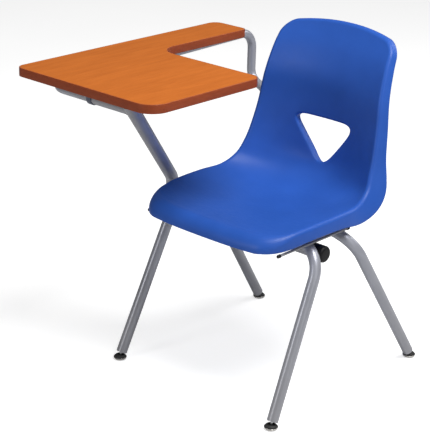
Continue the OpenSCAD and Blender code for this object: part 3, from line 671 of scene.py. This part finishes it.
# The upright's corners: inside the front tube's socket, the loop's front, its rear, the knee,
# the heel, and the rear hoop's crossbar, which its end enters by a little
PLUG_IN, UPRIGHT_SINK = mm(35), mm(3)
LOOP_FRONT = np.array([mm(-356), FRONT_TUBE_Y, LOOP_Z])
UPRIGHT_TOP = np.array([mm(-398), mm(372), LOOP_Z])
KNEE = np.array([UPRIGHT_TOP[0], UPRIGHT_TOP[1], mm(539)])
HEEL = mm([-200, 345, 455])
UPRIGHT_END = np.array([mm(-138), REAR_CORNER[1], CROSSBAR_Z])
UPRIGHT_BENDS = mm([45, 45, 34, 60])
upright_way = unit(UPRIGHT_END - HEEL)
upright_line = bent_path([SOCKET + [PLUG_IN, 0, 0], LOOP_FRONT, UPRIGHT_TOP, KNEE, HEEL,
                          UPRIGHT_END - upright_way * (LEG_OD / 2 - UPRIGHT_SINK)], UPRIGHT_BENDS)
new_piece("rear_upright_tube", *tube(upright_line, UPRIGHT_OD, TUBE_WALL), ROOT,
          MATERIALS["frame_paint"], "frame_paint", ["rear_upright"])

# ---- welds ----


def circle(centre, axis, radius, count=72):
    """Points of a circle about an axis."""
    x, y = side_axes(axis)
    t = np.arange(count) * 2 * math.pi / count
    return centre + radius * (np.outer(np.cos(t), x) + np.outer(np.sin(t), y))


def meet_cylinder(starts, way, centre, axis, radius):
    """Where lines from the start points along a way first meet a cylinder."""
    axis, way = unit(axis), unit(way)
    d = way - axis * (way @ axis)
    m = starts - centre
    m = m - np.outer(m @ axis, axis)
    a, b = d @ d, m @ d
    c = (m * m).sum(1) - radius**2
    return starts + np.outer((-b - np.sqrt(np.maximum(b * b - a * c, 0))) / a, way)


def tack(a, b, thick, count=28):
    """A closed line that runs out and back between two points, for a straight bead."""
    a, b = np.asarray(a, float), np.asarray(b, float)
    t = np.arange(count) * 2 * math.pi / count
    off = side_axes(b - a)[0] * thick * 0.5
    return (a + b) / 2 + np.outer(np.cos(t), (a - b) / 2) + np.outer(np.sin(t), off)


def shoulder(floor, corner, x):
    """A point of a hoop's bend at a given x, on the tube's centre line, and the tube's direction."""
    leg = unit(floor - corner)
    down = unit(leg * [0, 1, 1])
    start = corner[0] - HOOP_R * math.tan(math.acos(leg[0]) / 2)
    a = math.asin((x - start) / HOOP_R)
    middle = np.array([x, corner[1], corner[2]]) + down * HOOP_R * (1 - math.cos(a))
    return middle, np.array([math.cos(a), down[1] * math.sin(a), down[2] * math.sin(a)])


ALONG_X = (1, 0, 0)
BRACE_X, BRACE_OD = mm(168), mm(12.7)
THIN_BEAD, BRACKET_BEAD, UPRIGHT_BEAD = mm(1.5), mm(1.6), mm(1.8)
# A strap's beads: how far each is from the crossbar's middle, from the strap's sides and below it
TACK_OFF, TACK_INSET, TACK_DROP, TACK_WIDTH = mm(5), mm(2), mm(0.6), mm(2)
beads = []
for side, hand in ((-1, "right"), (1, "left")):
    low, high = box(hand + "_tube_bracket")
    for x in (low[0], high[0]):
        ring = circle(np.array([x, CROSS[1], CROSS[2]]), ALONG_X, POST_OD / 2)
        beads.append(weld_bead(ring, BRACKET_BEAD, ripples=24))
    low, high = box(hand + "_seat_strap")
    for y in (FRONT_CORNER[1] - TACK_OFF, FRONT_CORNER[1] + TACK_OFF,
              REAR_CORNER[1] - TACK_OFF, REAR_CORNER[1] + TACK_OFF):
        line = tack([low[0] + TACK_INSET, y, low[2] - TACK_DROP],
                    [high[0] - TACK_INSET, y, low[2] - TACK_DROP], TACK_WIDTH)
        beads.append(weld_bead(line, THIN_BEAD, ripples=9))
    ends = [[p * [side, 1, 1] for p in shoulder(FRONT_FLOOR, FRONT_CORNER, BRACE_X)],
            [p * [side, 1, 1] for p in shoulder(REAR_FLOOR, REAR_CORNER, BRACE_X)]]
    middle = (ends[0][0] + ends[1][0]) / 2
    for end, other in (ends, ends[::-1]):
        way = end[0] - other[0]
        ring = meet_cylinder(circle(middle, way, BRACE_OD / 2), way, *end, LEG_OD / 2)
        beads.append(weld_bead(ring, THIN_BEAD, ripples=16))
upright_ring = meet_cylinder(circle(HEEL, upright_way, UPRIGHT_OD / 2), upright_way,
                             UPRIGHT_END, ALONG_X, LEG_OD / 2)
beads.append(weld_bead(upright_ring, UPRIGHT_BEAD, ripples=20))
front_ring = circle(SOCKET, ALONG_X, FRONT_TUBE_OD / 2 - mm(0.4))
post_ring = meet_cylinder(front_ring, ALONG_X, POST_TOP, post_way, POST_OD / 2)
# The bead stays a little below the tablet
post_ring[:, 2] = np.minimum(post_ring[:, 2], TABLET_UNDER - mm(2))
beads.append(weld_bead(post_ring, THIN_BEAD, ripples=22))
new_piece("weld_beads", *joined(beads), ROOT, MATERIALS["frame_paint"], "frame_paint")

# ---- cap of the cross tube's free end ----

# Radius at which a turned profile stops short of its axis
CORE_R = mm(0.01)
cap_low, cap_high = box("post_end_cap")
cap_r = float(cap_high[2] - cap_low[2]) / 2
cap_long = float(cap_high[0] - cap_low[0])
cap_bore, cap_wall = POST_OD / 2 + mm(0.05), mm(4)
cap_profile = filleted([
    (CORE_R, 0, 0), (cap_r, 0, mm(7)), (cap_r, cap_long, mm(1)),
    (cap_bore, cap_long, mm(0.5)), (cap_bore, cap_wall, mm(1)), (CORE_R, cap_wall, 0),
], 8)
new_piece("post_cap", *lathe(cap_profile, (cap_high[0], CROSS[1], CROSS[2]), (-1, 0, 0)), ROOT,
          MATERIALS["black_plastic"], "black_plastic", ["post_end_cap"])

# ---- tablet ----

BAND_T, LAMINATE_T = mm(2), mm(0.8)
PANEL_REAR_Y, ARMREST_INNER_X = mm(-37), mm(-331)


def tablet_outline(inset, steps=24):
    """The tablet's outline in x and y, moved in by inset; the fourth corner is the inside one."""
    low, high = box("tablet_edge_band")
    corners = [
        (low[0] + inset, low[1] + inset, mm(24) - inset),
        (high[0] - inset, low[1] + inset, mm(45) - inset),
        (high[0] - inset, PANEL_REAR_Y - inset, mm(27) - inset),
        (ARMREST_INNER_X - inset, PANEL_REAR_Y - inset, mm(50) + inset),
        (ARMREST_INNER_X - inset, high[1] - inset, mm(16) - inset),
        (low[0] + inset, high[1] - inset, mm(25) - inset),
    ]
    return np.array(filleted(corners, steps))


def outline_rings(profile):
    """Rings of points round the tablet at (inset, height) steps, and how many are in a ring."""
    rings = []
    for inset, z in profile:
        flat = tablet_outline(inset)
        rings.append(np.column_stack([flat, np.full(len(flat), z)]))
    return np.vstack(rings), len(rings[0])


band_profile = filleted([
    (0, TABLET_UNDER, mm(1.1)), (0, TABLET_TOP, mm(1.4)), (BAND_T, TABLET_TOP, 0),
    (BAND_T, TABLET_UNDER, 0),
], 6)
band_points, band_around = outline_rings(band_profile)
new_piece("tablet_edge", band_points, grid_faces(len(band_profile), band_around, True), ROOT,
          MATERIALS["edge_band"], "edge_band", ["tablet_edge_band"])

# The laminate stops a hair inside the band and its upper edge is eased
sheet_edge, eased_edge = BAND_T + mm(0.12), BAND_T + mm(0.25)
top_profile = [(sheet_edge, TABLET_TOP - LAMINATE_T), (sheet_edge, TABLET_TOP - mm(0.2)),
               (eased_edge, TABLET_TOP)]
top_points, top_around = outline_rings(top_profile)
top_faces = grid_faces(len(top_profile), top_around)
top_faces += [tuple(range(top_around))[::-1], tuple(range(2 * top_around, 3 * top_around))]
new_piece("tablet_top", top_points, top_faces, ROOT, MATERIALS["wood_laminate"], "wood_laminate",
          ["tablet_top_laminate"])

# ---- swivel glides ----

GLIDE_R = mm(15.5)
STUD_NECK_D, STUD_SEAT_D, BALL_D = mm(4.4), mm(8), mm(9)
SHANK_LONG, SHANK_CHAMFER = mm(20), mm(0.4)
# The cushion's opening: clearance at the ball's centre, its depth and how far it widens
NECK_CLEAR, OPENING_LONG, OPENING_FLARE = mm(0.3), mm(20), mm(5.7)
FINE_CORE_R = mm(0.001)
# Profiles are corners of (radius, height above the floor, fillet radius)
CUSHION_PROFILE = filleted([
    (CORE_R, mm(1.6), 0), (GLIDE_R - mm(7), mm(1.6), 0), (GLIDE_R - mm(3.4), mm(3.05), mm(1)),
    (GLIDE_R - mm(1.95), mm(4.7), mm(1)), (GLIDE_R - mm(1.4), mm(6.3), 0),
    (GLIDE_R - mm(1.4), mm(7.25), 0), (GLIDE_R - mm(1.1), mm(7.25), mm(0.3)),
    (GLIDE_R - mm(2), mm(9), mm(1)), (GLIDE_R - mm(4.5), mm(11.3), mm(2)),
    (GLIDE_R - mm(7.5), mm(12.5), mm(1)), (CORE_R, mm(12.5), 0),
], 5)
BASE_PROFILE = filleted([
    (CORE_R, 0, 0), (GLIDE_R - mm(6.5), 0, mm(2)), (GLIDE_R - mm(2.5), mm(1.6), mm(2)),
    (GLIDE_R - mm(0.5), mm(3.8), mm(2)), (GLIDE_R, mm(6), mm(0.8)), (GLIDE_R, mm(7), mm(0.4)),
    (GLIDE_R - mm(1.3), mm(7), mm(0.3)), (GLIDE_R - mm(1.3), mm(6.2), 0),
    (GLIDE_R - mm(1.85), mm(4.6), mm(1)), (GLIDE_R - mm(3.3), mm(2.95), mm(1)),
    (GLIDE_R - mm(6.9), mm(1.5), mm(1)), (CORE_R, mm(1.5), 0),
], 5)


def cutter(points, faces):
    """A hidden helper object for a boolean cut."""
    mesh = bpy.data.meshes.new("cutter")
    mesh.from_pydata([tuple(p + SEAT) for p in points], [], faces)
    thing = bpy.data.objects.new("cutter", mesh)
    bpy.context.scene.collection.objects.link(thing)
    return thing


def cut(piece, points, faces):
    """Takes a closed solid out of a piece for good."""
    tool = cutter(points, faces)
    step = piece.modifiers.new("cut", "BOOLEAN")
    step.operation = "DIFFERENCE"
    step.solver = "EXACT"
    step.object = tool
    bpy.context.view_layer.update()
    done = bpy.data.meshes.new_from_object(piece.evaluated_get(bpy.context.evaluated_depsgraph_get()))
    piece.modifiers.clear()
    piece.data = done
    bpy.data.objects.remove(tool)
    done.shade_smooth()
    done.set_sharp_from_angle(angle=math.radians(SMOOTH_ANGLE))


studs = []
for foot in FEET:
    ball = np.array(JOINTS[foot + "_tilt"]["pos_m"]) - SEAT
    front = foot.startswith("front")
    floor, corner = (FRONT_FLOOR, FRONT_CORNER) if front else (REAR_FLOOR, REAR_CORNER)
    if foot.endswith("right"):
        floor, corner = flip(floor), flip(corner)
    way = unit(corner - floor)
    neck = float(np.linalg.norm(leg_at(floor, corner, TUBE_END_Z) - ball))
    ground = np.array([ball[0], ball[1], 0])

    new_piece(foot + "_glide_base", *lathe(BASE_PROFILE, ground, (0, 0, 1), 96), foot + "_glide",
              MATERIALS["nickel_steel"], "nickel_steel", [foot + "_glide"])
    cushion = new_piece(foot + "_cushion_rubber", *lathe(CUSHION_PROFILE, ground, (0, 0, 1), 96),
                        foot + "_cushion", MATERIALS["cushion_rubber"], "cushion_rubber",
                        [foot + "_cushion"])
    clear = STUD_NECK_D / 2 + NECK_CLEAR
    hollow = [(FINE_CORE_R, 0.0), (clear, 0.0), (clear + OPENING_FLARE, OPENING_LONG),
              (FINE_CORE_R, OPENING_LONG)]
    cut(cushion, *lathe(hollow, ball, way, 64))
    socket_r = BALL_D / 2 + mm(0.05)
    socket = [(max(socket_r * math.sin(a), FINE_CORE_R), -socket_r * math.cos(a))
              for a in np.linspace(0, math.pi, 25)]
    cut(cushion, *lathe(socket, ball, way, 64))

    ball_r = BALL_D / 2
    lead = math.asin(STUD_NECK_D / 2 / ball_r)
    profile = [(max(ball_r * math.sin(a), FINE_CORE_R), -ball_r * math.cos(a))
               for a in np.linspace(0, math.pi - lead, 22)]
    profile += [(STUD_SEAT_D / 2, neck), (STUD_SEAT_D / 2, neck + SHANK_LONG - SHANK_CHAMFER),
                (STUD_SEAT_D / 2 - SHANK_CHAMFER, neck + SHANK_LONG),
                (FINE_CORE_R, neck + SHANK_LONG)]
    studs.append(lathe(profile, ball, way, 64))
new_piece("glide_stems", *joined(studs), ROOT, MATERIALS["zinc_steel"], "zinc_steel", ["glide_studs"])

# ---- CAD nodes that stay: their own materials, with their edges softened ----

# Width of each kept node's bevel, in millimetres
SOFT_EDGES = {
    "left_seat_strap": 0.6, "right_seat_strap": 0.6, "left_tube_bracket": 0.5,
    "right_tube_bracket": 0.5, "saddle_clips": 0.4, "clip_screws": 0.3, "seat_screws": 0.4,
    "seat_washers": 0.2, "seat_bosses": 0.5, "rail_end_caps": 0.2, "glide_plugs": 0.3,
}


def soften(node, width_mm):
    """Bevels a CAD node's sharp edges without changing its mesh."""
    weld = node.modifiers.new("weld", "WELD")
    weld.merge_threshold = 1e-6
    bevel = node.modifiers.new("soft_edges", "BEVEL")
    bevel.width = width_mm * 0.001
    bevel.segments = 2
    bevel.limit_method = "ANGLE"
    bevel.angle_limit = math.radians(40)
    bevel.use_clamp_overlap = True
    bevel.harden_normals = True


SLOT_OF = {s["node"]: s["material_slot"] for s in frame["record"]["subparts"]}
for name, node in NODES.items():
    node.data.materials.clear()
    node.data.materials.append(MATERIALS[SLOT_OF[name]])
    if name in SOFT_EDGES and not node.hide_render:
        soften(node, SOFT_EDGES[name])

# ---- stage, light and camera ----


def make_floor():
    """A pale floor that the camera sees brighter than the light it gives to the chair."""
    s = Shader("floor")
    colour = s.blend(s.spread(s.noise(1.5, 2), 0, 1), (0.70, 0.70, 0.70), (0.74, 0.74, 0.74))
    seen = s.add("ShaderNodeLightPath").outputs["Is Camera Ray"]
    material = s.finish(colour, 0.9, Emission_Color=(1, 1, 1, 1),
                        Emission_Strength=s.spread(seen, 0.0, 0.68, 0, 1))
    reach = 14.0
    mesh = bpy.data.meshes.new("floor")
    mesh.from_pydata([(-reach, -reach, 0), (reach, -reach, 0), (reach, reach, 0),
                      (-reach, reach, 0)], [], [(0, 1, 2, 3)])
    mesh.materials.append(material)
    floor = bpy.data.objects.new("floor", mesh)
    bpy.context.scene.collection.objects.link(floor)


def area_light(name, place, aim, size, watts):
    """A round soft light; the place and the aim are measured from the seat's centre."""
    data = bpy.data.lights.new(name, "AREA")
    data.shape = "DISK"
    data.size = size
    data.energy = watts
    light = bpy.data.objects.new(name, data)
    light.location = place + SEAT
    light.rotation_mode = "QUATERNION"
    light.rotation_quaternion = (Vector(aim) - Vector(place)).to_track_quat("-Z", "Y")
    bpy.context.scene.collection.objects.link(light)


def make_world(strength):
    world = bpy.data.worlds.new("studio")
    world.use_nodes = True
    world.node_tree.nodes["Background"].inputs[0].default_value = (1, 1, 1, 1)
    world.node_tree.nodes["Background"].inputs[1].default_value = strength
    bpy.context.scene.world = world


def make_camera():
    """A long lens in front of the chair and to its left, looking a little down."""
    azimuth, elevation, roll = (math.radians(a) for a in (42.18, 21.15, 1.55))
    target, distance = Vector(SEAT + [-0.1733, 0.0001, 0.3006]), 3.382
    focal_in_pixels, long_side = 1421.0, 440
    back = Vector((math.sin(azimuth) * math.cos(elevation),
                   -math.cos(azimuth) * math.cos(elevation), math.sin(elevation)))
    level = Vector((math.cos(azimuth), math.sin(azimuth), 0))
    over = back.cross(level)
    right = level * math.cos(roll) + over * math.sin(roll)
    up = over * math.cos(roll) - level * math.sin(roll)
    data = bpy.data.cameras.new("camera")
    data.sensor_width = 36
    data.lens = focal_in_pixels * data.sensor_width / long_side
    data.clip_end = 60
    camera = bpy.data.objects.new("camera", data)
    camera.matrix_world = Matrix.Translation(target + back * distance) @ Matrix(
        (right, up, back)).transposed().to_4x4()
    bpy.context.scene.collection.objects.link(camera)
    bpy.context.scene.camera = camera


bpy.context.scene.view_settings.view_transform = "Standard"
make_floor()
make_world(0.14)
middle = (-0.1, 0.0, 0.45)
area_light("top", (1.1, -0.1, 3.1), middle, 1.8, 96)
area_light("front", (-0.7, -3.0, 1.25), middle, 0.8, 15)
area_light("side", (3.0, -1.2, 1.4), middle, 1.8, 9)
area_light("rim", (0.6, 2.6, 2.2), middle, 1.6, 20)
make_camera()
